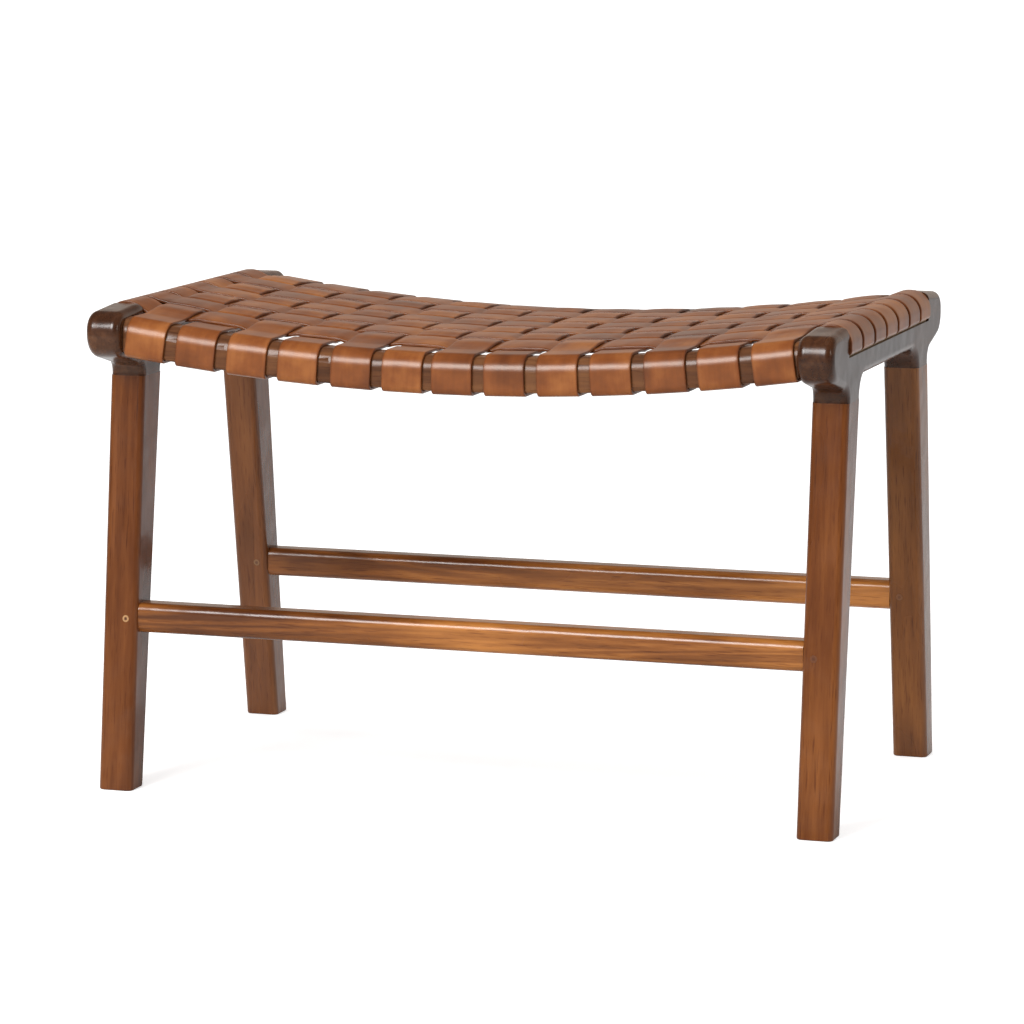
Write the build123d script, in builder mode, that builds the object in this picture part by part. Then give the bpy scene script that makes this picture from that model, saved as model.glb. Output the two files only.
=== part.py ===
from build123d import *
import os
from math import asin, atan2, cos, degrees, hypot, sin

# A low stool: two hardwood end frames, two bowed seat rails, two stretchers,
# and a seat of leather straps woven both ways.
# Millimetres, +Z up, +X along the stool, origin on the floor under its middle.

# Overall sizes of the wooden frame
frame_length = 658.0
rail_top = 422.0
knob_reach = 200.0

# End frames, drawn in side view: a rail with knobs and stubs, and two splayed legs
frame_thick = 31.5
rail_depth = 45.2
rail_edge = 7.0
knob_overhang = 53.0
knob_top_fall = 4.0
knob_end_depth = 35.0
knob_low_fall = 14.0
knob_start_radius = 60.0
knob_top_share = 0.47
knob_low_share = 0.6
stub_length = 17.8
stub_outer_share = 1.0
stub_inner_share = 1.1
joint_width = 42.0
foot_width = 29.0
leg_splay = 41.0
leg_edge = 5.5
foot_edge = 1.5

# Leather
strap_thick = 2.5
short_strap_count = 13
short_strap_gap = 10.3
short_strap_end_margin = 4.1
long_strap_count = 7
long_strap_gap = 6.5
long_strap_end_margin = 1.2
strap_seat = 0.2
strap_proud = 2.0
weave_seat = 0.3
weave_bend = 5.0
weave_turn_share = 0.85

# Strap bed on an end rail, and the slot that takes the strap ends
collar_length = 54.5
bed_outer_share = 0.45
bed_inner_share = 0.5
slot_drop = 20.6
slot_depth = 12.0
slot_lip = 0.8
spline_thick = 1.3
spline_recess = 1.6
spline_seat = 0.2

# Seat rails, bowed downwards along the stool
seat_rail_drop = 31.0
seat_rail_sag = 22.5
seat_rail_height = 29.5
seat_rail_setback = 10.0
seat_rail_depth = 29.0
seat_rail_front_radius = 12.0
seat_rail_low_radius = 4.0
seat_rail_inner_radius = 4.0
strap_tail_inset = 2.0

# Stretchers
stretcher_size = 26.0
stretcher_centre_height = 149.5
stretcher_edge = 7.0

# Joints
stretcher_tenon_length = 20.0
stretcher_tenon_thick = 12.0
stretcher_tenon_height = 17.0
seat_tenon_length = 18.0
seat_tenon_thick = 14.0
seat_tenon_height = 17.0
joint_clearance = 0.15
dowel_radius = 5.0
dowel_in_leg = 28.0
dowel_in_stub = 22.0
dowel_spacing = 19.0
peg_radius = 3.0
peg_inset = 10.0
peg_clearance = 0.05
hole_end_gap = 0.6

# Tacks under the seat rails
tack_head_radius = 3.2
tack_head_height = 0.9
tack_shank_radius = 0.9
tack_shank_length = 11.0
tack_spread = 20.0
tack_inset = 8.0
tack_clearance = 0.05

overrun = 2.0

# Where the pieces stand, from the sizes above
half_length = frame_length / 2
inner_face = half_length - frame_thick
frame_middle = half_length - frame_thick / 2
rail_low = rail_top - rail_depth
joint_height = rail_low - stub_length
knob_high = rail_top - knob_top_fall
knob_low = knob_high - knob_end_depth
knob_root = knob_low - knob_low_fall
joint_outer = knob_reach - knob_overhang
joint_inner = joint_outer - joint_width
foot_outer = joint_outer + leg_splay
foot_inner = foot_outer - foot_width
bed_half = knob_reach - collar_length
bed_face = half_length + strap_proud - strap_thick - strap_seat
bed_top = rail_top + strap_proud - strap_thick - strap_seat
bed_outer_radius = bed_outer_share * (bed_face - inner_face)
bed_inner_radius = bed_inner_share * (bed_face - inner_face)
slot_top = rail_top - slot_drop
slot_bottom = slot_top - strap_thick - strap_seat - spline_thick - 2 * spline_seat
spline_depth = slot_depth - 2 * spline_recess
strap_lay = strap_seat + strap_thick / 2
weave_rise = (strap_thick + weave_seat) / 2
seat_rail_top = rail_top - seat_rail_drop
seat_rail_outer = knob_reach - seat_rail_setback
seat_rail_inner = seat_rail_outer - seat_rail_depth
seat_rail_middle = seat_rail_outer - seat_rail_depth / 2
bow_radius = (inner_face**2 + seat_rail_sag**2) / (2 * seat_rail_sag)
bow_centre_height = seat_rail_top + bow_radius
weave_radius = bow_radius - strap_lay
sides = ((-1, "front"), (1, "back"))
ends = ((-1, "left"), (1, "right"))


def filling_width(span, count, gap):
    """Width of each of a number of straps that fill a span, with the same gap between them."""
    return (span - (count - 1) * gap) / count


def even_rows(count, pitch):
    """Centres of a number of straps, spread evenly about the middle."""
    return [(i - (count - 1) / 2) * pitch for i in range(count)]


short_span = 2 * (inner_face - short_strap_end_margin)
short_strap_width = filling_width(short_span, short_strap_count, short_strap_gap)
short_rows = even_rows(short_strap_count, short_strap_width + short_strap_gap)
long_span = 2 * (bed_half - long_strap_end_margin)
long_strap_width = filling_width(long_span, long_strap_count, long_strap_gap)
long_rows = even_rows(long_strap_count, long_strap_width + long_strap_gap)


def leg_line(outer, z):
    """Distance of a leg's outer or inner face from the middle, at a height."""
    foot = foot_outer if outer else foot_inner
    top = joint_outer if outer else joint_inner
    return foot + (top - foot) * z / joint_height


stretcher_outer = leg_line(True, stretcher_centre_height)
stretcher_inner = leg_line(False, stretcher_centre_height)
stretcher_middle = (stretcher_outer + stretcher_inner) / 2


def leg_blank(side, end):
    """A tapered leg with its long edges rounded, before any joint is cut."""
    start = inner_face if end > 0 else -half_length
    outline = [
        (side * foot_outer, 0),
        (side * joint_outer, joint_height),
        (side * joint_inner, joint_height),
        (side * foot_inner, 0),
    ]
    with BuildPart() as blank:
        with BuildSketch(Plane.YZ.offset(start)):
            with BuildLine():
                Polyline(*outline, close=True)
            make_face()
        extrude(amount=frame_thick)
        fillet(blank.edges().sort_by(SortBy.LENGTH)[-4:], leg_edge)
        fillet(blank.faces().sort_by(Axis.Z)[0].edges(), foot_edge)
    return blank.part


def dowel_plane(side, end):
    """Plane at the top of a leg, its Z axis along the leg's own middle line."""
    foot_middle = (foot_outer + foot_inner) / 2
    joint_middle = (joint_outer + joint_inner) / 2
    return Plane(
        origin=(end * frame_middle, side * joint_middle, joint_height),
        x_dir=(1, 0, 0),
        z_dir=(0, side * (joint_middle - foot_middle), joint_height),
    )


def dowel_places():
    """The two dowels of a leg joint, either side of the leg's middle line."""
    return Locations((0, dowel_spacing / 2), (0, -dowel_spacing / 2))


def dowel_holes(side, end):
    """The space that a leg joint's two dowels need, in the leg and in the stub above it."""
    with BuildPart() as holes:
        with BuildSketch(dowel_plane(side, end).offset(-dowel_in_leg - hole_end_gap)):
            with dowel_places():
                Circle(dowel_radius + joint_clearance)
        extrude(amount=dowel_in_leg + dowel_in_stub + 2 * hole_end_gap)
    return holes.part


def bow_plane(along):
    """Plane across the seat at a distance along the bow: X is the stool's Y, Y is up from the bow."""
    turn = along / bow_radius
    return Plane(
        origin=(0, 0, bow_centre_height),
        x_dir=(0, 1, 0),
        z_dir=(cos(turn), 0, sin(turn)),
    )


os.makedirs("parts", exist_ok=True)
pieces = []


def keep(part, name):
    """Label a finished piece and write it."""
    part.label = name
    export_step(part, f"parts/{name}.step")
    pieces.append(part)


# Legs, each with a mortise, a peg hole and two dowel holes
for side, side_name in sides:
    for end, end_name in ends:
        with BuildPart() as leg:
            add(leg_blank(side, end))
            with BuildSketch(Plane.YZ.offset(end * inner_face)):
                with Locations((side * stretcher_middle, stretcher_centre_height)):
                    Rectangle(
                        stretcher_tenon_thick + 2 * joint_clearance,
                        stretcher_tenon_height + 2 * joint_clearance,
                    )
            extrude(amount=end * (stretcher_tenon_length + hole_end_gap), mode=Mode.SUBTRACT)
            with BuildSketch(Plane.XZ):
                with Locations((end * (inner_face + peg_inset), stretcher_centre_height)):
                    Circle(peg_radius + peg_clearance)
            extrude(amount=-side * knob_reach, mode=Mode.SUBTRACT)
            add(dowel_holes(side, end), mode=Mode.SUBTRACT)
        keep(leg.part, f"leg_{side_name}_{end_name}")

        # The peg goes right through leg and tenon and is cut flush with both faces
        with BuildPart() as peg:
            with BuildSketch(Plane.XZ):
                with Locations((end * (inner_face + peg_inset), stretcher_centre_height)):
                    Circle(peg_radius)
            extrude(amount=-side * knob_reach)
            add(leg_blank(side, end), mode=Mode.INTERSECT)
        keep(peg.part, f"tenon_peg_{side_name}_{end_name}")

        with BuildPart() as dowels:
            with BuildSketch(dowel_plane(side, end).offset(-dowel_in_leg)):
                with dowel_places():
                    Circle(dowel_radius)
            extrude(amount=dowel_in_leg + dowel_in_stub)
        keep(dowels.part, f"leg_dowels_{side_name}_{end_name}")

# Stretchers, with a tenon at each end and a hole for its peg
for side, side_name in sides:
    with BuildPart() as stretcher:
        with BuildSketch(Plane.YZ):
            with Locations((side * stretcher_middle, stretcher_centre_height)):
                RectangleRounded(stretcher_size, stretcher_size, stretcher_edge)
        extrude(amount=inner_face, both=True)
        with BuildSketch(Plane.YZ):
            with Locations((side * stretcher_middle, stretcher_centre_height)):
                Rectangle(stretcher_tenon_thick, stretcher_tenon_height)
        extrude(amount=inner_face + stretcher_tenon_length, both=True)
        with BuildSketch(Plane.XZ):
            with Locations(
                (inner_face + peg_inset, stretcher_centre_height),
                (-inner_face - peg_inset, stretcher_centre_height),
            ):
                Circle(peg_radius + peg_clearance)
        extrude(amount=-side * knob_reach, mode=Mode.SUBTRACT)
    keep(stretcher.part, f"stretcher_{side_name}")

# End rails: the side outline, then the strap bed with its slot, then the joints
rail_side = [
    (0, rail_top),
    (joint_outer, rail_top),
    (knob_reach, knob_high),
    (knob_reach, knob_low),
    (leg_line(True, knob_root), knob_root),
    (joint_outer, joint_height),
    (joint_inner, joint_height),
    (leg_line(False, rail_low), rail_low),
    (0, rail_low),
]
rail_side_radii = [
    knob_start_radius,
    knob_top_share * knob_end_depth,
    knob_low_share * knob_end_depth,
    stub_outer_share * (knob_root - joint_height),
    0,
    0,
    stub_inner_share * stub_length,
]
bed_cut = [
    (inner_face - overrun, rail_top + overrun),
    (half_length + overrun, rail_top + overrun),
    (half_length + overrun, slot_bottom),
    (bed_face - slot_depth, slot_bottom),
    (bed_face - slot_depth, slot_top),
    (bed_face, slot_top),
    (bed_face, bed_top),
    (inner_face, bed_top),
    (inner_face, bed_top - bed_inner_radius - overrun),
    (inner_face - overrun, bed_top - bed_inner_radius - overrun),
]
bed_cut_radii = [0, 0, 0, 0, 0, slot_lip, bed_outer_radius, bed_inner_radius, 0, 0]
seat_rail_end_turn = asin(inner_face / bow_radius)
seat_tenon_middle = bow_centre_height - (bow_radius + seat_rail_height / 2) * cos(seat_rail_end_turn)

for end, end_name in ends:
    with BuildPart() as end_rail:
        start = inner_face if end > 0 else -half_length
        with BuildSketch(Plane.YZ.offset(start)):
            with BuildLine() as half_outline:
                FilletPolyline(*rail_side, radius=rail_side_radii)
                mirror(about=Plane.YZ)
            make_face()
        extrude(amount=frame_thick)
        rims = end_rail.faces().filter_by(Axis.X)
        stub_ends = end_rail.faces().sort_by(Axis.Z)[:2].edges()
        fillet([e for e in rims.edges() if e not in stub_ends], rail_edge)
        with BuildSketch(Plane.XZ):
            with BuildLine():
                FilletPolyline(
                    *[(end * x, z) for x, z in bed_cut], radius=bed_cut_radii, close=True
                )
            make_face()
        extrude(amount=bed_half, both=True, mode=Mode.SUBTRACT)
        for side, _ in sides:
            with BuildSketch(Plane.YZ.offset(end * inner_face)):
                with Locations((side * seat_rail_middle, seat_tenon_middle)):
                    Rectangle(
                        seat_tenon_thick + 2 * joint_clearance,
                        seat_tenon_height + 2 * joint_clearance,
                    )
            extrude(amount=end * (seat_tenon_length + hole_end_gap), mode=Mode.SUBTRACT)
            add(dowel_holes(side, end), mode=Mode.SUBTRACT)
    keep(end_rail.part, f"end_rail_{end_name}")

    # The spline lies under the strap ends, set back from the face
    with BuildPart() as spline:
        spline_middle = slot_bottom + spline_seat + spline_thick / 2
        with BuildSketch(Plane.XZ):
            with Locations((end * (bed_face - spline_recess - spline_depth / 2), spline_middle)):
                Rectangle(spline_depth, spline_thick)
        extrude(amount=bed_half - spline_seat, both=True)
    keep(spline.part, f"slot_spline_{end_name}")

# Tack places under the seat rails, one pair for each end of each short strap
tack_depth = bow_radius + seat_rail_height + strap_seat + strap_thick


def tack_locations(side):
    """Each place is on a strap's lower face, its Z axis pointing down out of the strap."""
    places = []
    for row in short_rows:
        across = bow_plane(row)
        for shift in (-tack_spread / 2, tack_spread / 2):
            at = Vector(side * (seat_rail_inner + tack_inset), -tack_depth, shift)
            place = Plane(origin=across.from_local_coords(at), x_dir=(0, 1, 0), z_dir=-across.y_dir)
            places.append(place.location)
    return places


# Seat rails: a rounded section turned about the bow's centre, cut at the end frames
section_low = -bow_radius - seat_rail_height
seat_rail_section = [
    (seat_rail_outer, -bow_radius),
    (seat_rail_outer, section_low),
    (seat_rail_inner, section_low),
    (seat_rail_inner, -bow_radius),
]
seat_rail_radii = [
    seat_rail_front_radius,
    seat_rail_low_radius,
    seat_rail_inner_radius,
    seat_rail_inner_radius,
]
bow_axis = Axis((0, 0, bow_centre_height), (0, -1, 0))

for side, side_name in sides:
    with BuildPart() as seat_rail:
        with BuildSketch(bow_plane(-half_length)):
            with BuildLine():
                FilletPolyline(
                    *[(side * y, z) for y, z in seat_rail_section],
                    radius=seat_rail_radii,
                    close=True,
                )
            make_face()
        revolve(axis=bow_axis, revolution_arc=degrees(frame_length / bow_radius))
        split(bisect_by=Plane.YZ.offset(inner_face), keep=Keep.BOTTOM)
        split(bisect_by=Plane.YZ.offset(-inner_face), keep=Keep.TOP)
        for end, _ in ends:
            with BuildSketch(Plane.YZ.offset(end * inner_face)):
                with Locations((side * seat_rail_middle, seat_tenon_middle)):
                    Rectangle(seat_tenon_thick, seat_tenon_height)
            extrude(amount=end * seat_tenon_length)
        with Locations(tack_locations(side)):
            Cylinder(
                tack_shank_radius + tack_clearance,
                2 * (tack_shank_length + tack_clearance),
                mode=Mode.SUBTRACT,
            )
    keep(seat_rail.part, f"seat_rail_{side_name}")

    with BuildPart() as tacks:
        with Locations(tack_locations(side)):
            Cylinder(
                tack_head_radius,
                tack_head_height,
                align=(Align.CENTER, Align.CENTER, Align.MIN),
            )
            Cylinder(
                tack_shank_radius,
                tack_shank_length,
                align=(Align.CENTER, Align.CENTER, Align.MAX),
            )
    keep(tacks.part, f"tacks_{side_name}")


def weave_heights(count, over_first):
    """Plus one where a strap lies over the one it crosses, minus one where under."""
    first = 1 if over_first else -1
    return [first if i % 2 == 0 else -first for i in range(count)]


def weave_points(rows, gap, levels):
    """Points of a strap through the weave: level along each crossing, turning in each gap."""
    turn = gap / 2 * weave_turn_share
    points = []
    for here, after, level, next_level in zip(rows, rows[1:], levels, levels[1:]):
        middle = (here + after) / 2
        points.append((middle - turn, level * weave_rise))
        points.append((middle + turn, next_level * weave_rise))
    return points


# Short straps: under a rail, up its front, over the top, through the weave and down the other side
top_lay = -weave_radius
low_lay = -(bow_radius + seat_rail_height + strap_lay)
front_lay = seat_rail_outer + strap_lay
weave_edge = long_rows[-1] + long_strap_width / 2 + long_strap_gap / 2 * (1 - weave_turn_share)
rise_start = weave_edge + long_strap_gap

for number, row in enumerate(short_rows):
    levels = weave_heights(len(long_rows), number % 2 == 0)
    path = [
        (-seat_rail_inner - strap_tail_inset, low_lay),
        (-front_lay, low_lay),
        (-front_lay, top_lay),
        (-rise_start, top_lay),
        (-weave_edge, top_lay + levels[0] * weave_rise),
    ]
    path += [(y, top_lay + z) for y, z in weave_points(long_rows, long_strap_gap, levels)]
    path += [
        (weave_edge, top_lay + levels[-1] * weave_rise),
        (rise_start, top_lay),
        (front_lay, top_lay),
        (front_lay, low_lay),
        (seat_rail_inner + strap_tail_inset, low_lay),
    ]
    wrap = [seat_rail_low_radius + strap_lay, seat_rail_front_radius + strap_lay]
    radii = wrap + [weave_bend] * (len(path) - 6) + wrap[::-1]
    with BuildPart() as short_strap:
        with BuildSketch(bow_plane(row)):
            with BuildLine():
                FilletPolyline(*path, radius=radii)
                offset(amount=strap_thick / 2, side=Side.BOTH, closed=True, mode=Mode.REPLACE)
            make_face()
        extrude(amount=short_strap_width / 2, both=True)
        for side, _ in sides:
            here = tack_locations(side)[2 * number : 2 * number + 2]
            with Locations(here):
                Cylinder(
                    tack_shank_radius + tack_clearance,
                    2 * (strap_thick + strap_seat),
                    mode=Mode.SUBTRACT,
                )
    keep(short_strap.part, f"short_strap_{number + 1:02d}")

# Long straps: out of one slot, over the end rail, along the bow and back into the other slot
lay_face = bed_face + strap_lay
lay_top = bed_top + strap_lay
lay_slot = slot_top - strap_lay
bend_centre_x = inner_face + bed_inner_radius
bend_centre_z = bed_top - bed_inner_radius
inner_bend = bed_inner_radius + strap_lay
outer_bend = bed_outer_radius + strap_lay
lip_bend = slot_lip + strap_lay
slot_end = bed_face - slot_depth + spline_recess
last_crossing = short_rows[-1] + short_strap_width / 2


def on_bow(along, rise):
    """Point on the weave's bow at a distance along it, raised towards the bow's centre."""
    turn = along / bow_radius
    reach = weave_radius - rise
    return (reach * sin(turn), bow_centre_height - reach * cos(turn))


def end_points(level):
    """Right-hand end of a long strap, from its last crossing to the bottom of the slot."""
    x, z = on_bow(last_crossing, level * weave_rise)
    run, drop = bend_centre_x - x, z - bend_centre_z
    climb = asin(inner_bend / hypot(run, drop)) - atan2(drop, run)
    top_corner = x + (lay_top - z) * cos(climb) / sin(climb)
    return [
        (x, z),
        (top_corner, lay_top),
        (lay_face, lay_top),
        (lay_face, lay_slot),
        (slot_end, lay_slot),
    ]


for number, row in enumerate(long_rows):
    levels = [-level for level in weave_heights(len(short_rows), number % 2 == 0)]
    right = end_points(levels[-1])
    left = [(-x, z) for x, z in end_points(levels[0])[::-1]]
    middle = [on_bow(x, z) for x, z in weave_points(short_rows, short_strap_gap, levels)]
    radii = (
        [lip_bend, outer_bend, inner_bend, weave_bend]
        + [weave_bend] * len(middle)
        + [weave_bend, inner_bend, outer_bend, lip_bend]
    )
    with BuildPart() as long_strap:
        with BuildSketch(Plane.XZ.offset(-row)):
            with BuildLine():
                FilletPolyline(*left, *middle, *right, radius=radii)
                offset(amount=strap_thick / 2, side=Side.BOTH, closed=True, mode=Mode.REPLACE)
            make_face()
        extrude(amount=long_strap_width / 2, both=True)
    keep(long_strap.part, f"long_strap_{number + 1}")

whole = Compound(children=pieces)
box = whole.bounding_box()
print("pieces", len(pieces))
print("size", box.size)
print("strap widths", short_strap_width, long_strap_width)
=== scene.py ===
# %% [markdown]
# # A woven leather stool
#
# The stool has two end frames of dark hardwood, two stretchers, two bowed seat rails, and a seat
# of wide leather straps woven both ways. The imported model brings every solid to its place, so the
# frame is loaded first and nothing has to be fitted to it. The wood keeps its solids and gets its
# finish here. The straps are made new, because leather bends, and a solid can only hint at that.

# %% Load the frame
import math
import random

import bpy
from mathutils import Matrix, Vector


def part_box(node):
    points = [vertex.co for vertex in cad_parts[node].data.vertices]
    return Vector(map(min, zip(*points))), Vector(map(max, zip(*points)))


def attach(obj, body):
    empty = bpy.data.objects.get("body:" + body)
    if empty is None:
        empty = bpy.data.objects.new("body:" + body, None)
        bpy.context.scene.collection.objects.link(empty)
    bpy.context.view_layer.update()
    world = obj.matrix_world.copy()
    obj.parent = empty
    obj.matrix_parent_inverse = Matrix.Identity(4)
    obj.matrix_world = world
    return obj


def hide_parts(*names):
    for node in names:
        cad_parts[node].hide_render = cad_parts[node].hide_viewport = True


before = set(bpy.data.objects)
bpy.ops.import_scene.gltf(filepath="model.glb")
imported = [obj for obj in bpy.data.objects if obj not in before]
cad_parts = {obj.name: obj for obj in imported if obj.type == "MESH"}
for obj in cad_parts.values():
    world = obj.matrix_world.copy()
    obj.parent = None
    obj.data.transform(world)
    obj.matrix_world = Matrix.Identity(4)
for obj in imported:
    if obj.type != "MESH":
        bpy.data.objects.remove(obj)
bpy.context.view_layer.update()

mm = 0.001


# %% [markdown]
# ## The camera
#
# The photograph was taken from in front and a little to the right, from just above the seat, with
# a long lens. A long lens keeps the legs nearly parallel. The camera could be placed by eye, but
# its angle and distance were worked out from the feet, the knobs and the stretchers, so that the
# stool fills the frame as it does there.

# %% Place the camera
camera_turn = math.radians(18.33)
camera_rise = math.radians(8.9)
camera_roll = math.radians(-0.12)
camera_distance = 3.7944
camera_target = Vector((-0.0105, 0, 0.2317))
photo_focal_length = 151.4

turned = Matrix.Rotation(camera_turn, 4, "Z") @ Matrix.Rotation(math.pi / 2 - camera_rise, 4, "X")
away = turned @ Vector((0, 0, 1))
bpy.ops.object.camera_add(location=camera_target + away * camera_distance)
camera = bpy.context.object
camera.rotation_euler = (turned @ Matrix.Rotation(camera_roll, 4, "Z")).to_euler()
camera.data.lens = photo_focal_length
camera.data.clip_end = 100
bpy.context.scene.camera = camera
print("camera at", [round(v, 2) for v in camera.location])


# %% [markdown]
# ## Nodes, a line for each
#
# Every finish here, and the light of the room, is a chain of shader nodes: values that Blender
# works out at each point and hands on. Nodes could be added and linked by hand in the Shader
# Editor. These helpers do the same in one line for each node, so that a chain reads from top to
# bottom like a recipe.

# %% Helpers for node chains
def join(tree, value, socket):
    """Link a node or a socket to a socket, or set a plain value on it."""
    if isinstance(value, bpy.types.Node):
        value = value.outputs[0]
    if isinstance(value, bpy.types.NodeSocket):
        tree.links.new(value, socket)
    else:
        socket.default_value = value


def wire(tree, kind, **values):
    """Add a node and fill its sockets.

    Base_Color fills the socket Base Color, i0 fills the first one, and set_operation changes
    a setting of the node itself. A node that is given as a value is linked by its first output."""
    node = tree.nodes.new(kind)
    for name, value in values.items():
        if name.startswith("set_"):
            setattr(node, name[4:], value)
        elif name[0] == "i" and name[1:].isdigit():
            join(tree, value, node.inputs[int(name[1:])])
        else:
            join(tree, value, node.inputs[name.replace("_", " ")])
    return node


def calc(tree, operation, *values):
    """A Math node, such as ADD, with its values in order."""
    node = wire(tree, "ShaderNodeMath", set_operation=operation)
    for value, socket in zip(values, node.inputs):
        join(tree, value, socket)
    return node


def fade(tree, value, low, high, start=0.0, end=1.0):
    """A value that goes from start to end while another goes from low to high."""
    return wire(
        tree, "ShaderNodeMapRange", Value=value,
        From_Min=low, From_Max=high, To_Min=start, To_Max=end,
    )


def new_material(name):
    """An empty material and its node tree."""
    material = bpy.data.materials.new(name)
    material.use_nodes = True
    material.node_tree.nodes.clear()
    return material, material.node_tree


print("node helpers: join, wire, calc, fade, new_material")


# %% [markdown]
# ## The room: floor and light
#
# The stool stands in a white studio. The floor is one large pale plane. It gets a little light of
# its own for the camera only, more of it far from the lamps, so that it reads as white and still
# keeps the soft shadow of the legs. Lacquer and waxed leather mirror a cream backdrop behind the
# stool, and a dim room and floor in front of it. A room that is white all round would be
# simpler, but it turns the fronts of the legs and the straps pale grey, and in the photograph
# these are deep brown. The lamp overhead isn't mirrored, for the same reason.

# %% Lay the floor
floor_reach = 40.0
pale_paint, shaded_paint = (0.8, 0.8, 0.8, 1), (0.46, 0.42, 0.37, 1)
near_glow, far_glow = 0.56, 0.95

bpy.ops.object.select_all(action="DESELECT")
bpy.ops.mesh.primitive_plane_add(size=2 * floor_reach)
floor = bpy.context.object
floor.name = "floor"
floor_material, tree = new_material("pale_floor")
spot = wire(tree, "ShaderNodeTexCoord").outputs["Object"]
path = wire(tree, "ShaderNodeLightPath")
paint = wire(tree, "ShaderNodeBsdfDiffuse", Color=pale_paint)
distance = wire(tree, "ShaderNodeVectorMath", i0=spot, set_operation="LENGTH").outputs["Value"]
glow_strength = fade(tree, distance, 1.0, 5.0, near_glow, far_glow)
glow = wire(tree, "ShaderNodeEmission", Strength=glow_strength)
glowing = wire(tree, "ShaderNodeAddShader", i0=paint, i1=glow)
seen = wire(tree, "ShaderNodeMixShader", i0=path.outputs["Is Camera Ray"], i1=paint, i2=glowing)
shaded = wire(tree, "ShaderNodeBsdfDiffuse", Color=shaded_paint)
behind = fade(tree, wire(tree, "ShaderNodeSeparateXYZ", Vector=spot).outputs["Y"], -0.3, 0.2)
mirrored = wire(tree, "ShaderNodeMixShader", i0=behind, i1=shaded, i2=paint)
whole = wire(tree, "ShaderNodeMixShader", i0=path.outputs["Is Glossy Ray"], i1=seen, i2=mirrored)
wire(tree, "ShaderNodeOutputMaterial", Surface=whole)
floor.data.materials.append(floor_material)
print("floor", floor_reach * 2, "m across")

# %% Light the room
room_light, backdrop_light, dim_light = 0.5, 0.55, 0.1
white, cream = (1, 1, 1, 1), (1, 0.87, 0.76, 1)

world = bpy.data.worlds.new("studio")
bpy.context.scene.world = world
world.use_nodes = True
tree = world.node_tree
tree.nodes.clear()
way = wire(tree, "ShaderNodeSeparateXYZ", Vector=wire(tree, "ShaderNodeTexCoord").outputs["Object"])
behind = fade(tree, way.outputs["Y"], -0.1, 0.35)
low_down = fade(tree, way.outputs["Z"], 0.2, 0.55, 1.0, 0.0)
backdrop = calc(tree, "MULTIPLY", behind, low_down)
strength = calc(tree, "MULTIPLY_ADD", backdrop, backdrop_light - dim_light, dim_light)
room = wire(tree, "ShaderNodeBackground", Color=white, Strength=room_light)
mirrored = wire(tree, "ShaderNodeBackground", Color=cream, Strength=strength)
seen = wire(tree, "ShaderNodeBackground", Color=white, Strength=1.0)
path = wire(tree, "ShaderNodeLightPath")
gloss, glass = path.outputs["Is Glossy Ray"], path.outputs["Is Transmission Ray"]
unseen = wire(
    tree, "ShaderNodeMixShader", i0=calc(tree, "MAXIMUM", gloss, glass), i1=room, i2=mirrored,
)
whole = wire(tree, "ShaderNodeMixShader", i0=path.outputs["Is Camera Ray"], i1=unseen, i2=seen)
wire(tree, "ShaderNodeOutputWorld", Surface=whole)
bpy.context.scene.view_settings.view_transform = "Standard"
print("room light", room_light, "backdrop in mirrors", backdrop_light)


# %% Hang the lamps
def add_softbox(name, place, aim, width, height, watts, colour=(1, 1, 1)):
    """An oval area lamp that looks at a point."""
    bpy.ops.object.light_add(type="AREA", location=place)
    lamp = bpy.context.object
    lamp.name = name
    lamp.rotation_euler = (Vector(aim) - Vector(place)).to_track_quat("-Z", "Y").to_euler()
    lamp.data.shape = "ELLIPSE"
    lamp.data.size = width
    lamp.data.size_y = height
    lamp.data.energy = watts
    lamp.data.color = colour
    return lamp


warm = (1, 0.86, 0.74)
add_softbox("front_light", (-0.95, -2.85, 1.92), (0, 0, 0.35), 1.5, 1.5, watts=84)
add_softbox("side_light", (3.4, -1.6, 1.5), (0, 0, 0.3), 0.35, 1.4, watts=12, colour=warm)
top_light = add_softbox("top_light", (0, 0.3, 3.0), (0, 0, 0.2), 2.6, 2.6, watts=37)
top_light.visible_glossy = False


# %% [markdown]
# ## Wood
#
# Hardwood is drawn by how it grew. Yearly rings run along the plank and show as long soft lines,
# finer streaks lie between them, and short dark pores follow the same direction. All three come
# from noise that is stretched along the plank and reads Object coordinates, so the grain goes right
# through the piece. A picture of wood would show where it ends and starts again. The frame is
# lacquered: a clear coat gives the sharp gloss over softer wood. It was sanded by hand, so a wide
# and very shallow second bump bends the edges of each gloss.

# %% Helpers for patterns
def noise(tree, where, scale, detail=2.0, roughness=0.5, distortion=0.0):
    """A soft random pattern, with about scale patches to a metre."""
    return wire(
        tree, "ShaderNodeTexNoise", Vector=where, Scale=scale, Detail=detail, Roughness=roughness,
        Distortion=distortion,
    )


def stretched(tree, where, axis, squeeze):
    """The same place, squeezed along one axis, so that a pattern read there is drawn out."""
    scale = [1.0, 1.0, 1.0]
    scale["XYZ".index(axis)] = squeeze
    return wire(tree, "ShaderNodeMapping", Vector=where, Scale=scale)


def ramp(tree, value, stops):
    """A colour ramp through (position, colour) stops."""
    node = wire(tree, "ShaderNodeValToRGB", Fac=value)
    while len(node.color_ramp.elements) < len(stops):
        node.color_ramp.elements.new(0.5)
    for element, (position, colour) in zip(node.color_ramp.elements, stops):
        element.position = position
        element.color = (*colour, 1)
    return node


def darken(tree, share, colour, shade):
    """A colour multiplied by another, as far as share says."""
    node = wire(tree, "ShaderNodeMix", set_data_type="RGBA", set_blend_type="MULTIPLY")
    for number, value in ((0, share), (6, colour), (7, shade)):
        join(tree, value, node.inputs[number])
    return node.outputs[2]


print("pattern helpers: noise, stretched, ramp, darken")

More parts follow.
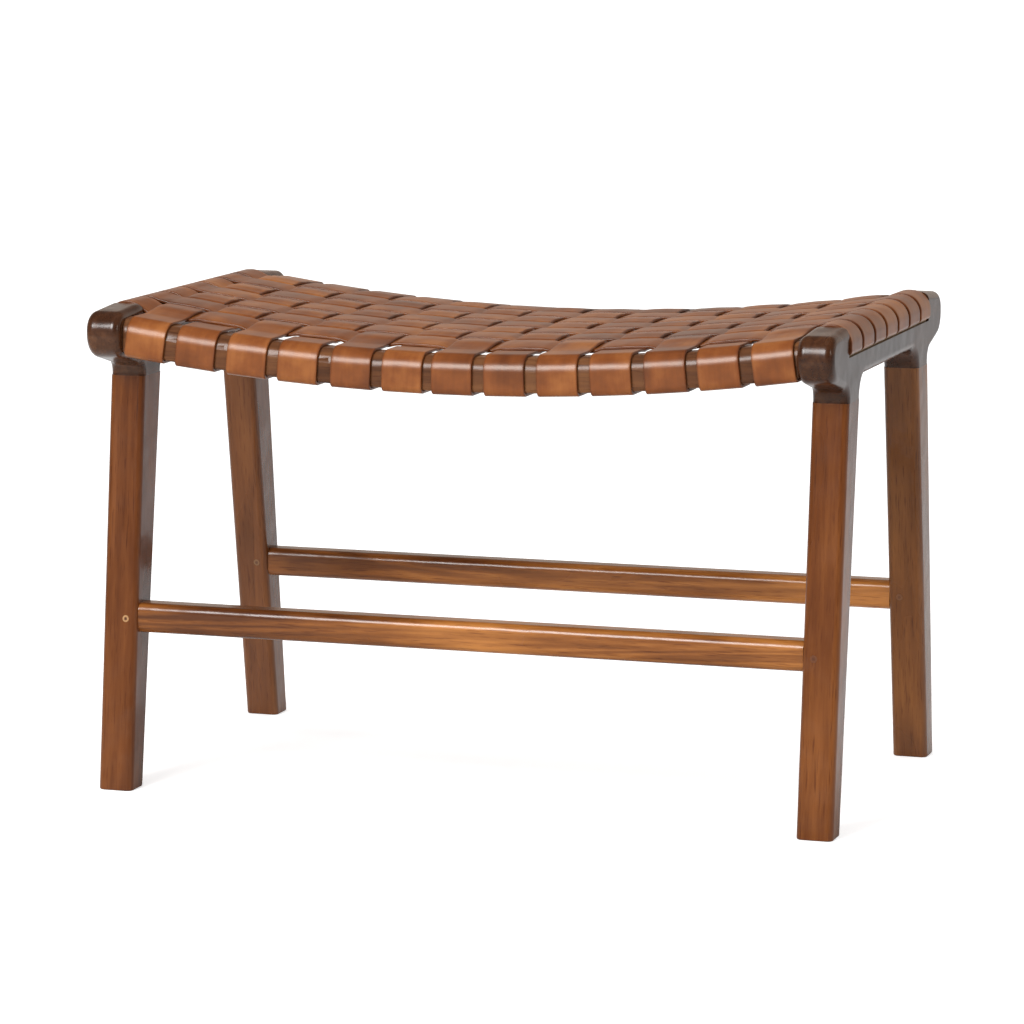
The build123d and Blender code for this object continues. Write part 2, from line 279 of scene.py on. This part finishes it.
# %% Lacquered hardwood
line_squeeze, patch_widen, pore_squeeze = 0.07, 3.0, 0.05
ring_waves = 44.0
streak_share, patch_share = 0.42, 0.9
pore_tones = ((0.0, (0.55, 0.45, 0.4)), (1.0, (1, 1, 1)))


def make_wood(
    name, along, place, tones, roughness, coat, lean=0.0, figure=0.16, coat_blur=0.14, drift=0.0,
):
    """A lacquered hardwood whose grain runs along one axis, leaning a little about X.

    Figure is how strongly the rings show. With a drift the plank grows paler towards +X."""
    material, tree = new_material(name)
    spot = wire(tree, "ShaderNodeTexCoord").outputs["Object"]
    turned = wire(tree, "ShaderNodeMapping", Vector=spot, Rotation=(lean, 0, 0), Location=place)
    flow = stretched(tree, turned, along, line_squeeze)
    rings = noise(tree, flow, 26.0, detail=2.5, distortion=0.6)
    bands = calc(tree, "SINE", calc(tree, "MULTIPLY", rings, ring_waves))
    streaks = noise(tree, flow, 240.0, detail=6.0, roughness=0.65)
    patches = noise(tree, stretched(tree, flow, along, patch_widen), 24.0)
    tone = calc(tree, "MULTIPLY_ADD", bands, figure / 2, 0.5)
    for pattern, share in ((streaks, streak_share), (patches, patch_share)):
        tone = calc(tree, "ADD", tone, calc(tree, "MULTIPLY_ADD", pattern, share, -share / 2))
    if drift:
        side = wire(tree, "ShaderNodeSeparateXYZ", Vector=spot).outputs["X"]
        tone = calc(tree, "MULTIPLY_ADD", side, drift, tone)
    dark, middle, light = tones
    colour = ramp(tree, tone, ((0.25, dark), (0.5, middle), (0.75, light)))
    pore_noise = noise(tree, stretched(tree, turned, along, pore_squeeze), 820.0)
    pores = fade(tree, pore_noise, 0.3, 0.42)
    pore_shade = ramp(tree, pores, pore_tones)
    height = calc(tree, "MULTIPLY_ADD", pores, 0.25, streaks)
    sanding = noise(tree, spot, 38.0, detail=1.0, roughness=0.4)
    hollows = wire(tree, "ShaderNodeBump", Height=sanding, Strength=0.35, Distance=3 * mm)
    bump = wire(
        tree, "ShaderNodeBump", Height=height, Strength=0.18, Distance=0.3 * mm, Normal=hollows,
    )
    shader = wire(
        tree, "ShaderNodeBsdfPrincipled", Base_Color=darken(tree, 0.8, colour, pore_shade),
        Roughness=fade(tree, patches, 0.3, 0.7, roughness - 0.05, roughness + 0.06), Normal=bump,
        Specular_IOR_Level=0.25, Coat_Weight=coat, Coat_Roughness=coat_blur, Coat_Normal=hollows,
    )
    wire(tree, "ShaderNodeOutputMaterial", Surface=shader)
    return material


finishes = {}
print("rings about", round(1 / line_squeeze), "times as long as they are wide")

# %% [markdown]
# ## Legs and stretchers
#
# Each leg is cut from another plank, so each has its own browns and its own place in the grain,
# which also follows the lean of the leg. The back legs get paler, greyer browns, and part of that
# is a painted reflection of the haze on their lacquer. One wood for all four would be simpler, but
# then the same figure shows four times. The stretchers are paler, and grow paler towards one end.

# %% Finish the legs and stretchers
leg_slant, leg_height = 41.5 * mm, 359 * mm
leg_lean = math.atan2(leg_slant, leg_height)
# The back legs' paler, greyer tones are partly painted reflection haze on their lacquer.
leg_tones = {
    "front_left": ((0.06, 0.016, 0.004), (0.112, 0.03, 0.006), (0.19, 0.058, 0.013)),
    "front_right": ((0.075, 0.02, 0.005), (0.146, 0.04, 0.007), (0.24, 0.076, 0.015)),
    "back_left": ((0.1, 0.032, 0.01), (0.168, 0.056, 0.016), (0.255, 0.095, 0.026)),
    "back_right": ((0.1, 0.033, 0.009), (0.172, 0.059, 0.014), (0.265, 0.1, 0.024)),
}
stretcher_tones = ((0.1, 0.028, 0.006), (0.25, 0.08, 0.014), (0.5, 0.19, 0.04))
stretcher_drift = {"front": 0.35, "back": 0.8}
for side, sign in (("front", -1), ("back", 1)):
    for end, (x, y, z) in (("left", (0.31, 0.2, 0.36)), ("right", (0.83, 0.47, 0.52))):
        finishes[f"leg_{side}_{end}"] = make_wood(
            f"leg_wood_{side}_{end}", "Z", (x + sign, y, z), leg_tones[f"{side}_{end}"],
            roughness=0.28, coat=0.5, lean=-sign * leg_lean, figure=0.09,
        )
    finishes[f"stretcher_{side}"] = make_wood(
        f"stretcher_wood_{side}", "X", (0.1, 0.3 * sign, 0.4), stretcher_tones,
        roughness=0.26, coat=0.7, figure=0.16, coat_blur=0.24, drift=stretcher_drift[side],
    )
print("legs lean", round(math.degrees(leg_lean), 1), "degrees")

# %% [markdown]
# ## Rails, dowels and splines
#
# The end rails are stained darkest, nearly black at the right end. The seat rails lie under the
# straps and show only between them. Their browns are darker and duller, and part of that darkness
# is painted shade from the straps over them. The dowels and the splines are bare wood inside the
# joints, and one plain finish does for all of them.

# %% Finish the rails, dowels and splines
end_rail_tones = {
    "left": ((0.034, 0.011, 0.004), (0.07, 0.024, 0.009), (0.135, 0.052, 0.019)),
    "right": ((0.02, 0.005, 0.002), (0.04, 0.011, 0.003), (0.08, 0.027, 0.008)),
}
for end, place in (("left", (0.0, 0, 0.2)), ("right", (0.7, 0, 0.2))):
    finishes[f"end_rail_{end}"] = make_wood(
        f"dark_wood_{end}", "Y", place, end_rail_tones[end],
        roughness=0.22, coat=0.6, figure=0.1, coat_blur=0.26,
    )
# The seat rails' dark tones are partly painted shade from the straps that lie over them.
rail_wood = make_wood(
    "seat_rail_wood", "X", (0, 0.2, 0),
    ((0.06, 0.02, 0.007), (0.135, 0.048, 0.015), (0.24, 0.098, 0.03)),
    roughness=0.3, coat=0.3, figure=0.1, coat_blur=0.3,
)
bare_wood = make_wood(
    "bare_wood", "Z", (0, 0, 0), ((0.3, 0.2, 0.11), (0.42, 0.3, 0.18), (0.52, 0.39, 0.25)),
    roughness=0.6, coat=0.0,
)
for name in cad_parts:
    if name.startswith("seat_rail"):
        finishes[name] = rail_wood
    elif name.startswith(("leg_dowels", "slot_spline")):
        finishes[name] = bare_wood
print("wood finishes", len(set(finishes.values())))

# %% [markdown]
# ## End grain for the pegs
#
# A peg shows only its end, where the wood is cut across: a dark middle, and round it a rim where
# the filler gathers. The rim is pale on the front left leg, faint behind it, and stained like the
# leg on the right. The rings are the distance from the peg's own axis, so each peg's pattern is
# first moved to the middle of its box.

# %% Finish the pegs
peg_reach = 4.2 * mm
ring_wobble = 1.2 * mm


def make_peg_end(name, centre, middle, rim):
    """End grain with rings round the peg's own middle."""
    material, tree = new_material(name)
    spot = wire(tree, "ShaderNodeTexCoord").outputs["Object"]
    own = wire(
        tree, "ShaderNodeMapping", Vector=spot, Location=(-centre.x, 0, -centre.z), Scale=(1, 0, 1),
    )
    reach = wire(tree, "ShaderNodeVectorMath", i0=own, set_operation="LENGTH").outputs["Value"]
    grain = noise(tree, spot, 900.0, detail=3.0)
    uneven = calc(tree, "MULTIPLY_ADD", grain, ring_wobble, reach)
    between = [0.6 * m + 0.4 * r for m, r in zip(middle, rim)]
    outer = [0.8 * r for r in rim]
    colour = ramp(tree, fade(tree, uneven, 0.0, peg_reach), (
        (0.3, middle), (0.5, between), (0.62, rim), (0.8, outer), (0.95, middle),
    ))
    shader = wire(
        tree, "ShaderNodeBsdfPrincipled", Base_Color=colour, Roughness=0.35,
        Coat_Weight=0.4, Coat_Roughness=0.15,
        Normal=wire(tree, "ShaderNodeBump", Height=grain, Strength=0.2, Distance=0.3 * mm),
    )
    wire(tree, "ShaderNodeOutputMaterial", Surface=shader)
    return material


peg_tones = {
    "front_left": ((0.09, 0.026, 0.007), (0.5, 0.27, 0.11)),
    "back_left": ((0.1, 0.035, 0.012), (0.24, 0.115, 0.045)),
    "front_right": ((0.09, 0.024, 0.005), (0.165, 0.048, 0.01)),
    "back_right": ((0.11, 0.037, 0.01), (0.19, 0.068, 0.018)),
}
for corner, (middle, rim) in peg_tones.items():
    low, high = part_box(f"tenon_peg_{corner}")
    centre = (low + high) / 2
    finishes[f"tenon_peg_{corner}"] = make_peg_end(f"peg_end_{corner}", centre, middle, rim)
print("peg finishes", len(peg_tones))

# %% [markdown]
# ## Brass for the tacks
#
# The short straps end under the seat rails, where round headed tacks hold them. The heads are old
# brass: worn bright in places and brown in others, which a soft noise between two tones gives.

# %% Finish the tacks
brass, tree = new_material("old_brass")
wear = noise(tree, wire(tree, "ShaderNodeTexCoord").outputs["Object"], 420.0, detail=3.0)
shader = wire(
    tree, "ShaderNodeBsdfPrincipled", Metallic=1.0,
    Base_Color=ramp(tree, wear, ((0.35, (0.12, 0.07, 0.03)), (0.65, (0.48, 0.33, 0.13)))),
    Roughness=fade(tree, wear, 0.3, 0.7, 0.5, 0.28),
)
wire(tree, "ShaderNodeOutputMaterial", Surface=shader)
finishes["tacks_front"] = finishes["tacks_back"] = brass
print("tack finish", brass.name)

# %% [markdown]
# ## Dress the solids that stay
#
# A solid comes with one plain material. It is taken off, and the finish goes on in its place. The
# mesh isn't touched, so the wood keeps the exact shape of the model.

# %% Put the finishes on
for name, finish in finishes.items():
    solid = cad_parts[name]
    solid.data.materials.clear()
    solid.data.materials.append(finish)
print("solids dressed", len(finishes))


# %% [markdown]
# ## Leather
#
# A strap is cut from one thick hide. Its face is waxed: a smooth tan with faint clouds, fine
# grain, shallow hollows from sitting and a few scratches. A darker line along both edges of the
# face is painted shade beside the cuts. The cut edges are rounded and burnished nearly black. Each
# strap remembers how it lay when it was flat, in an attribute, so the pattern follows it round
# every bend.

# %% Leather finishes
cloud_share, fibre_share, hide_share = 0.6, 0.16, 0.5
# The band near both edges of a strap's face that is darkened as painted shade.
edge_shade_start, edge_shade_end = 16.2 * mm, 17.8 * mm
face_tones = (
    (0.47, (0.12, 0.027, 0.003)),
    (0.63, (0.21, 0.052, 0.005)),
    (0.79, (0.34, 0.108, 0.018)),
)
edge_tones = ((0.4, (0.026, 0.009, 0.004)), (0.85, (0.085, 0.031, 0.013)))
painted_edge_shade_tones = ((0.0, (1, 1, 1)), (1.0, (0.45, 0.36, 0.3)))


def make_leather(name, edge):
    """Waxed tan leather, or its burnished cut edge."""
    material, tree = new_material(name)
    flat = wire(tree, "ShaderNodeAttribute", set_attribute_name="flat").outputs["Vector"]
    hide = noise(tree, flat, 4.0, detail=1.0)
    clouds = noise(tree, flat, 30.0, detail=4.0, roughness=0.55)
    fibres = noise(tree, stretched(tree, flat, "X", 0.1), 260.0, detail=5.0, roughness=0.6)
    tone = calc(tree, "MULTIPLY", clouds, cloud_share)
    tone = calc(tree, "MULTIPLY_ADD", fibres, fibre_share, tone)
    tone = calc(tree, "MULTIPLY_ADD", hide, hide_share, tone)
    colour = ramp(tree, tone, edge_tones if edge else face_tones)
    if not edge:
        # Painted shade: a darker line along both edges of the face, beside the cuts.
        across = wire(tree, "ShaderNodeSeparateXYZ", Vector=flat).outputs["Z"]
        line = fade(tree, calc(tree, "ABSOLUTE", across), edge_shade_start, edge_shade_end)
        colour = darken(tree, 0.7, colour, ramp(tree, line, painted_edge_shade_tones))
    pebbles = wire(tree, "ShaderNodeTexVoronoi", Vector=flat, Scale=1500.0).outputs["Distance"]
    wrinkles = noise(tree, stretched(tree, flat, "Z", 0.35), 110.0, detail=5.0)
    height = calc(tree, "MULTIPLY_ADD", pebbles, 0.1, wrinkles)
    askew = wire(
        tree, "ShaderNodeMapping", Vector=flat, Rotation=(0, 0.05, 0), Scale=(0.03, 1, 1),
    )
    scratches = fade(tree, noise(tree, askew, 420.0, detail=1.0), 0.2, 0.27)
    height = calc(tree, "MULTIPLY_ADD", scratches, 0.18, height)
    sag = noise(tree, flat, 32.0, roughness=0.45)
    hollows = wire(tree, "ShaderNodeBump", Height=sag, Strength=0.25, Distance=4 * mm)
    bump = wire(
        tree, "ShaderNodeBump", Height=height, Strength=0.28, Distance=0.5 * mm, Normal=hollows,
    )
    shader = wire(
        tree, "ShaderNodeBsdfPrincipled", Base_Color=colour, Normal=bump,
        Roughness=fade(tree, clouds, 0.3, 0.7, 0.34, 0.44),
        Specular_IOR_Level=0.4, Specular_Tint=(1, 0.86, 0.7, 1),
        Coat_Weight=0.1 if edge else 0.6, Coat_Roughness=0.3, Coat_Normal=hollows,
    )
    wire(tree, "ShaderNodeOutputMaterial", Surface=shader)
    return material


leather = make_leather("strap_leather", edge=False)
cut_edge = make_leather("strap_cut_edge", edge=True)
print("leather finishes", leather.name, "and", cut_edge.name)


# %% [markdown]
# ## The weave, as numbers
#
# Thirteen short straps cross seven long ones, over and under in turn. Where two straps cross, the
# upper one is arched up a little and the lower one down, and each steps to the other level in the
# gap beside its neighbour. The short straps arch more, so that they show as low bricks. A plain
# cosine would be simpler, but it leaves a lens-shaped opening at each crossing, and the real seat
# is closed there.

# %% Sizes of the seat, in metres
strap_thick = 2.5 * mm
strap_seat = 0.2 * mm
strap_lay = strap_seat + strap_thick / 2
short_count, long_count = 13, 7
short_width, short_gap = 35.63 * mm, 10.3 * mm
long_width, long_gap = 35.66 * mm, 6.5 * mm
short_pitch, long_pitch = short_width + short_gap, long_width + long_gap
inner_face = 297.5 * mm
seat_rail_top = 391 * mm
bow_depth = 22.5 * mm
bow_radius = (inner_face**2 + bow_depth**2) / (2 * bow_depth)
bow_centre = seat_rail_top + bow_radius


def even_rows(count, pitch):
    """Centres of a number of straps, spread evenly about the middle."""
    return [(i - (count - 1) / 2) * pitch for i in range(count)]


short_rows = even_rows(short_count, short_pitch)
long_rows = even_rows(long_count, long_pitch)
print("bow radius", round(bow_radius, 3))
print("outer straps at", round(short_rows[-1], 4), "and", round(long_rows[-1], 4))

# %% The wave that a strap is pressed into
weave_rise = 1.4 * mm
weave_ease = 1.5 * mm


def smooth(share):
    """A soft step from nought to one."""
    share = min(max(share, 0), 1)
    return share * share * (3 - 2 * share)


def press(along, first_level, rows, pitch, other_width, run_out, arch):
    """How far a flat strap is lifted at a place: up over one crossing, down under the next."""
    half = other_width / 2 - weave_ease
    index = min(max(round((along - rows[0]) / pitch), 0), len(rows) - 1)
    level = first_level if index % 2 == 0 else -first_level
    from_row = along - rows[index]
    if abs(from_row) < half:
        return level * (weave_rise + arch * (1 + math.cos(math.pi * from_row / half)) / 2)
    outermost = (index == 0 and from_row < 0) or (index == len(rows) - 1 and from_row > 0)
    if outermost:
        return level * weave_rise * (1 - smooth((abs(from_row) - half) / (run_out - half)))
    return level * weave_rise * (1 - 2 * smooth((abs(from_row) - half) / (pitch - 2 * half)))


print("a strap rises and dips", round(weave_rise / mm, 1), "mm at the edges of a crossing")


# %% [markdown]
# ## The guide of a strap
#
# On the stool a strap lies against the rails and turns round their edges. The line of its middle
# is written as a few corners with a radius each, and rounded here. It could be drawn as a soft
# curve with handles, but a line of short steps makes every bend an even arc, and its length is
# known, so that a flat strap of that length reaches just as far.

# %% Draw a guide
bend_step = math.radians(3)
least_bend, least_steps = 0.01, 4


def round_corners(corners):
    """Points along a line of (x, z, radius) corners, each corner rounded by its radius."""
    points = [Vector(corners[0][:2])]
    for before, here, after in zip(corners, corners[1:], corners[2:]):
        corner, radius = Vector(here[:2]), here[2]
        into = (corner - Vector(before[:2])).normalized()
        out = (Vector(after[:2]) - corner).normalized()
        bend = into.angle(out)
        if radius == 0 or bend < least_bend:
            points.append(corner)
            continue
        reach = radius * math.tan(bend / 2)
        hand = 1 if into.x * out.y - into.y * out.x > 0 else -1
        normal = Vector((-into.y, into.x)) * hand
        centre = corner - into * reach + normal * radius
        arm = -normal * radius
        steps = max(int(bend / bend_step), least_steps)
        for i in range(steps + 1):
            turn = hand * bend * i / steps
            points.append(centre + Vector((
                arm.x * math.cos(turn) - arm.y * math.sin(turn),
                arm.x * math.sin(turn) + arm.y * math.cos(turn),
            )))
    points.append(Vector(corners[-1][:2]))
    return points


def mirror_corners(corners):
    """The same corners for the other end of a strap."""
    return [(-x, z, radius) for x, z, radius in reversed(corners)]


def make_guide(name, points):
    """A flat curve object through points, in its own XY plane, and its length."""
    shape = bpy.data.curves.new(name, "CURVE")
    shape.dimensions = "2D"
    shape.splines.new("POLY").points.add(len(points) - 1)
    for knot, point in zip(shape.splines[0].points, points):
        knot.co = (point.x, point.y, 0, 1)
    guide = bpy.data.objects.new(name, shape)
    bpy.context.scene.collection.objects.link(guide)
    length = sum((b - a).length for a, b in zip(points, points[1:]))
    return guide, length


print("bends turn", round(math.degrees(bend_step)), "degrees at a time")

# %% [markdown]
# ## One strap
#
# A strap starts as a flat grid of its real length and width. Its ends get more rows, since they
# turn the tightest corners. The wave is pressed in while it is flat, and where it rises over
# another strap its two edges droop a little. Solidify gives it the hide's thickness, Bevel rounds
# the cuts, and a Curve modifier bends it along its guide round the rails. It could also be built
# bent from the start, but leather is cut flat, and so the pattern fits.

# %% Helpers for shaping
def only(piece):
    """Select one piece and nothing else."""
    bpy.ops.object.select_all(action="DESELECT")
    piece.select_set(True)
    bpy.context.view_layer.objects.active = piece


def apply_modifier(piece, kind, **values):
    """Add a modifier, set it and apply it."""
    only(piece)
    modifier = piece.modifiers.new(kind.lower(), kind)
    for name, value in values.items():
        setattr(modifier, name, value)
    bpy.ops.object.modifier_apply(modifier=modifier.name)


hair = 1e-6


def split_ends(piece, half, end_zone):
    """Give both ends of a flat strap three rows for each one, by splitting the edges along it."""
    only(piece)
    bpy.ops.object.mode_set(mode="EDIT")
    bpy.ops.mesh.select_mode(type="EDGE")
    bpy.ops.mesh.select_all(action="DESELECT")
    bpy.ops.object.mode_set(mode="OBJECT")
    for edge in piece.data.edges:
        a, b = (piece.data.vertices[i].co for i in edge.vertices)
        edge.select = abs(a.z - b.z) < hair and abs(a.x + b.x) / 2 > half - end_zone
    bpy.ops.object.mode_set(mode="EDIT")
    bpy.ops.mesh.subdivide(number_cuts=2)
    bpy.ops.object.mode_set(mode="OBJECT")


print("shaping helpers: only, apply_modifier, split_ends")

# %% The flat strap, pressed, thickened and bent
grid_step = 2.4 * mm
grid_across = 12
cut_round = 0.6 * mm
edge_droop = 0.3


def make_strap(name, length, width, level, crossing, end_zone, guide):
    """A finished strap, in the guide's plane: X along, Y up, Z across."""
    bpy.ops.object.select_all(action="DESELECT")
    bpy.ops.mesh.primitive_grid_add(
        x_subdivisions=round(length / grid_step), y_subdivisions=grid_across, size=1,
        rotation=(math.pi / 2, 0, 0),
    )
    piece = bpy.context.object
    piece.name = name
    piece.scale = (length, width, 1)
    bpy.ops.object.transform_apply(location=True, rotation=True, scale=True)
    split_ends(piece, length / 2, end_zone)
    for vertex in piece.data.vertices:
        raised = press(vertex.co.x, level, *crossing)
        vertex.co.y = raised - edge_droop * (2 * vertex.co.z / width) ** 2 * max(raised, 0)
    apply_modifier(
        piece, "SOLIDIFY", thickness=strap_thick, offset=0, use_even_offset=True,
        material_offset_rim=1,
    )
    piece.data.materials.append(leather)
    piece.data.materials.append(cut_edge)
    apply_modifier(
        piece, "BEVEL", width=cut_round, segments=3, limit_method="ANGLE",
        angle_limit=math.radians(50),
    )
    flat = piece.data.attributes.new("flat", "FLOAT_VECTOR", "POINT")
    for vertex, value in zip(piece.data.vertices, flat.data):
        value.vector = vertex.co
        vertex.co.x += length / 2
    apply_modifier(piece, "CURVE", object=guide, deform_axis="POS_X")
    return piece


print("a flat strap is", grid_across, "faces wide")

# %% [markdown]
# ## Two models of a kind, and their copies
#
# The straps of one kind all bend the same way, and differ only in the wave: every second one
# starts over its first crossing, and the others start under it. So two are modelled, and the rest
# are copies, each with a mesh of its own that is moved to its place.

# %% Helpers for models and copies
strap_pieces = {}


def make_models(kind, length, width, crossing, end_zone, guide, stand):
    """A strap that starts over, 1, and one that starts under, -1, stood up as on the stool."""
    models = {}
    for level in (1, -1):
        name = f"{kind}_model_{level + 1}"
        models[level] = make_strap(name, length, width, level, crossing, end_zone, guide)
        models[level].data.transform(stand)
    return models


def place_copy(model, kind, label, move):
    """A copy of a model at its place, noted with the solid that it replaces."""
    piece = model.copy()
    piece.data = model.data.copy()
    piece.name = f"leather_{kind}_{label}"
    bpy.context.scene.collection.objects.link(piece)
    piece.data.transform(move)
    strap_pieces[piece] = f"{kind}_strap_{label}"
    return len(piece.data.polygons)


print("strap helpers: make_models, place_copy")

# %% [markdown]
# ## Long straps
#
# Each long strap comes out of a slot in one end rail, goes up and over the rail, dips along the
# bow of the seat and goes back into the slot at the other end. Four of the seven start under the
# first short strap and three over it. A plain arc over the whole length would be simpler, but the
# strap leaves the bow in a straight line before it turns over the rail.

# %% The long straps' guide
bed_face, bed_top = 328.3 * mm, 421.3 * mm
bed_width = bed_face - inner_face
inner_share, outer_share = 0.5, 0.45
slot_top, slot_depth = 401.4 * mm, 10.4 * mm
bow_end_bend = 8 * mm
lip_bend = 0.8 * mm + strap_lay
inner_bend, outer_bend = inner_share * bed_width + strap_lay, outer_share * bed_width + strap_lay
lay_face, lay_top, lay_slot = bed_face + strap_lay, bed_top + strap_lay, slot_top - strap_lay

bow_lay = bow_radius - strap_lay
last_turn = (short_rows[-1] + short_width / 2) / bow_radius
x, z = bow_lay * math.sin(last_turn), bow_centre - bow_lay * math.cos(last_turn)
run = inner_face + inner_share * bed_width - x
drop = z - (bed_top - inner_share * bed_width)
climb = math.asin(inner_bend / math.hypot(run, drop)) - math.atan2(drop, run)
right_end = [
    (x, z, bow_end_bend),
    (x + (lay_top - z) / math.tan(climb), lay_top, inner_bend),
    (lay_face, lay_top, outer_bend),
    (lay_face, lay_slot, lip_bend),
    (bed_face - slot_depth, lay_slot, 0),
]
bow_steps = 60
bow_line = []
for i in range(1, bow_steps):
    turn = last_turn * (2 * i / bow_steps - 1)
    bow_line.append((bow_lay * math.sin(turn), bow_centre - bow_lay * math.cos(turn), 0))
long_line = round_corners(mirror_corners(right_end) + bow_line + right_end)
long_guide, long_length = make_guide("long_guide", long_line)
print("long strap", round(long_length, 4), "m")

# %% Weave in the long straps
long_end_zone = 62 * mm
long_run_out, long_arch = 30 * mm, 0.5 * mm
long_crossing = (short_rows, short_pitch, short_width, long_run_out, long_arch)
stand_up = Matrix.Rotation(math.pi / 2, 4, "X")

long_models = make_models(
    "long", long_length, long_width, long_crossing, long_end_zone, long_guide, stand_up,
)
for number, row in enumerate(long_rows):
    model = long_models[-1 if number % 2 == 0 else 1]
    faces = place_copy(model, "long", number + 1, Matrix.Translation((0, row, 0)))
print("long straps", len(strap_pieces), "faces each", faces)

# %% [markdown]
# ## Short straps
#
# The short straps are tacked under one seat rail, come up round its front, cross the seat and go
# down behind the other rail. They are made in the middle of the stool and swung along the bow to
# their places. A strap is laid by hand, so each is a touch off its even place.

# %% The short straps' guide
seat_rail_height = 29.5 * mm
seat_rail_outer, seat_rail_inner = 190 * mm, 161 * mm
upper_round, lower_round = 12 * mm, 4 * mm
bare_strip = 2 * mm

lay_front = seat_rail_outer + strap_lay
lay_over, lay_under = seat_rail_top + strap_lay, seat_rail_top - seat_rail_height - strap_lay
back_half = [
    (lay_front, lay_over, upper_round + strap_lay),
    (lay_front, lay_under, lower_round + strap_lay),
    (seat_rail_inner + bare_strip, lay_under, 0),
]
short_line = round_corners(mirror_corners(back_half) + back_half)
short_guide, short_length = make_guide("short_guide", short_line)
print("short strap", round(short_length, 4), "m")

# %% Weave in the short straps
short_end_zone = 96 * mm
short_run_out, short_arch = 31 * mm, 1.1 * mm
short_crossing = (long_rows, long_pitch, long_width, short_run_out, short_arch)
hand_shifts = [0.6, 0.8, 1.3, 1.2, 2.7, 2.1, -0.2, -0.5, -0.6, -0.5, 0.1, -0.4, 0.1]

short_models = make_models(
    "short", short_length, short_width, short_crossing, short_end_zone, short_guide,
    Matrix.Rotation(math.pi / 2, 4, "Z") @ stand_up,
)
lower, lift_back = Matrix.Translation((0, 0, -bow_centre)), Matrix.Translation((0, 0, bow_centre))
for number, (row, shift) in enumerate(zip(short_rows, hand_shifts)):
    model = short_models[1 if number % 2 == 0 else -1]
    turn = (row + shift * mm) / bow_radius
    swing = lift_back @ Matrix.Rotation(-turn, 4, "Y") @ lower
    faces = place_copy(model, "short", f"{number + 1:02d}", swing)
print("straps", len(strap_pieces), "faces each", faces)

# %% [markdown]
# ## The crown of the seat
#
# The long straps are pulled tight between the end rails, which stand higher than the seat rails
# dip, so they draw the middle of every short strap up a little. Seen from the front, the weave
# rises just behind the seat rail and runs flat across, and the last row at the back stands higher
# than the first at the front, so the lift reaches further there. One soft field lifts all the
# straps alike, so that they stay as close to each other as they were.

# %% Raise the weave
crown_rise = 4.0 * mm
front_edge, back_edge = long_rows[-1] + long_width / 2 + 2 * mm, 178 * mm
front_power, back_power = 4, 6
crown_fade = (285 * mm, 316 * mm)
weave_depth = 10 * mm


def crown(x, y):
    """How far the tight straps lift the weave at a place on the seat."""
    edge, power = (back_edge, back_power) if y > 0 else (front_edge, front_power)
    over_depth = max(1 - (y / edge) ** power, 0)
    over_length = 1 - smooth((abs(x) - crown_fade[0]) / (crown_fade[1] - crown_fade[0]))
    return crown_rise * over_depth * over_length


for piece in strap_pieces:
    for vertex in piece.data.vertices:
        x, y, z = vertex.co
        bow_height = bow_centre - math.sqrt(bow_radius**2 - x**2)
        if z > bow_height - weave_depth:
            vertex.co.z += crown(x, y)
print("crown", crown_rise / mm, "mm")

# %% [markdown]
# ## Hand the straps over
#
# No two straps come from the same part of the hide. Each flat pattern is moved by a distance of
# its own before the strap takes its solid's place. The models and the guides have done their
# work, so they are taken away.

# %% Finish the straps
draw = random.Random(7)
for piece, node in strap_pieces.items():
    hide_place = draw.uniform(0, 3)
    for value in piece.data.attributes["flat"].data:
        x, y, z = value.vector
        value.vector = (x + hide_place, y + hide_place * 2, z)
    only(piece)
    bpy.ops.object.shade_smooth()
    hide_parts(node)
    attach(piece, "root")
for spare in [*long_models.values(), *short_models.values(), long_guide, short_guide]:
    bpy.data.objects.remove(spare)
print("finished straps", len(strap_pieces))
